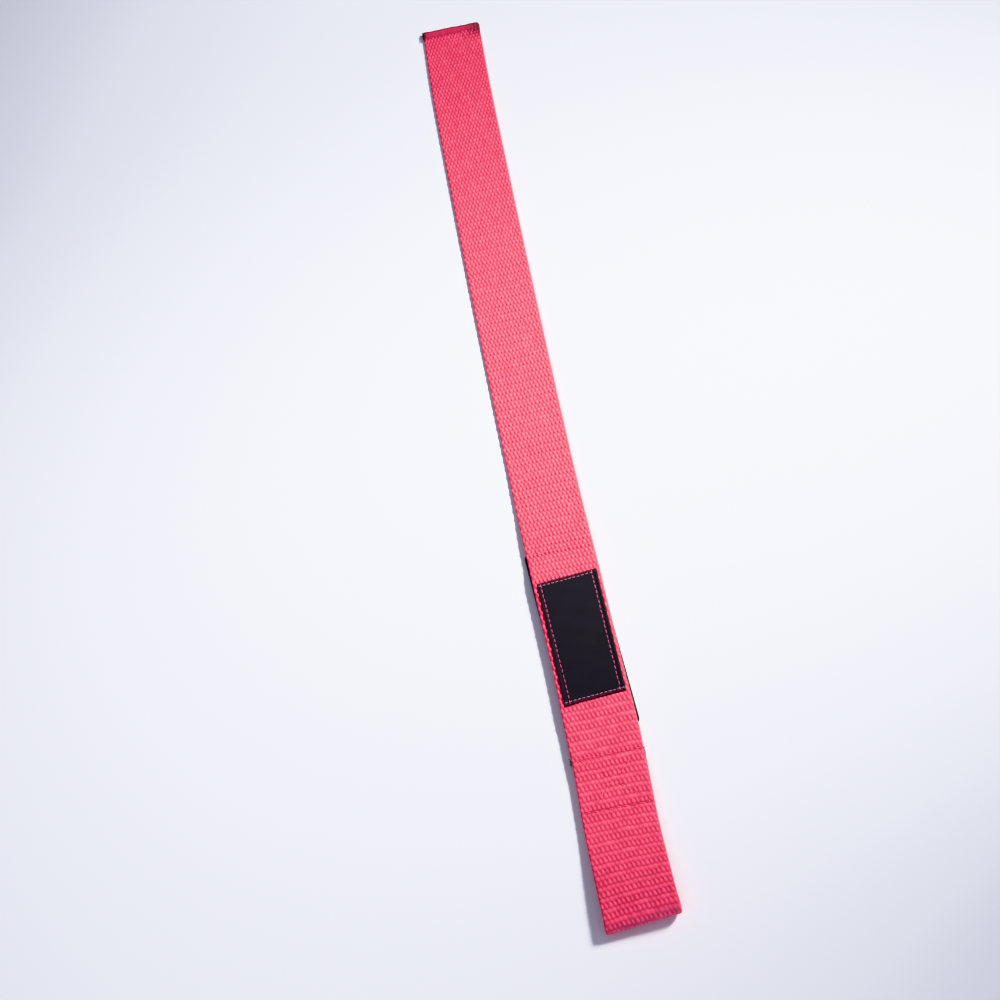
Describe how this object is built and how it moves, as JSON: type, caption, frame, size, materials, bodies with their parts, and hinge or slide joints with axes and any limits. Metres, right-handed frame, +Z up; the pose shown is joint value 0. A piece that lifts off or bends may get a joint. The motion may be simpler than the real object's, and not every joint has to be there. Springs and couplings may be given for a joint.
{
  "type": "weightlifting strap",
  "caption": "Flat webbing lifting strap lying at rest: one end sewn back into an open loop, a padded and labelled stretch for the wrist, and a long free tail to wrap round a bar.",
  "frame": {"origin": "on the surface that the strap lies on, under the middle of its bounding box", "axes": "+Y along the strap towards the tip of its tail, +Z up from the surface, +X to the right with the loop nearest the viewer"},
  "size_m": [0.0432, 0.6014, 0.0123],
  "materials": {
    "webbing": "heavy plain-woven cotton webbing in coral pink",
    "binding": "dense crimson overlock thread, charred dark at the corners",
    "pad": "black neoprene faced with fine knit",
    "label": "black damask-woven label with pink perimeter stitching"
  },
  "bodies": {
    "root": {"webbing": "webbing", "wrist_pad": "pad", "label": "label", "tail_binding": "binding", "fold_binding": "binding"}
  },
  "joints": []
}
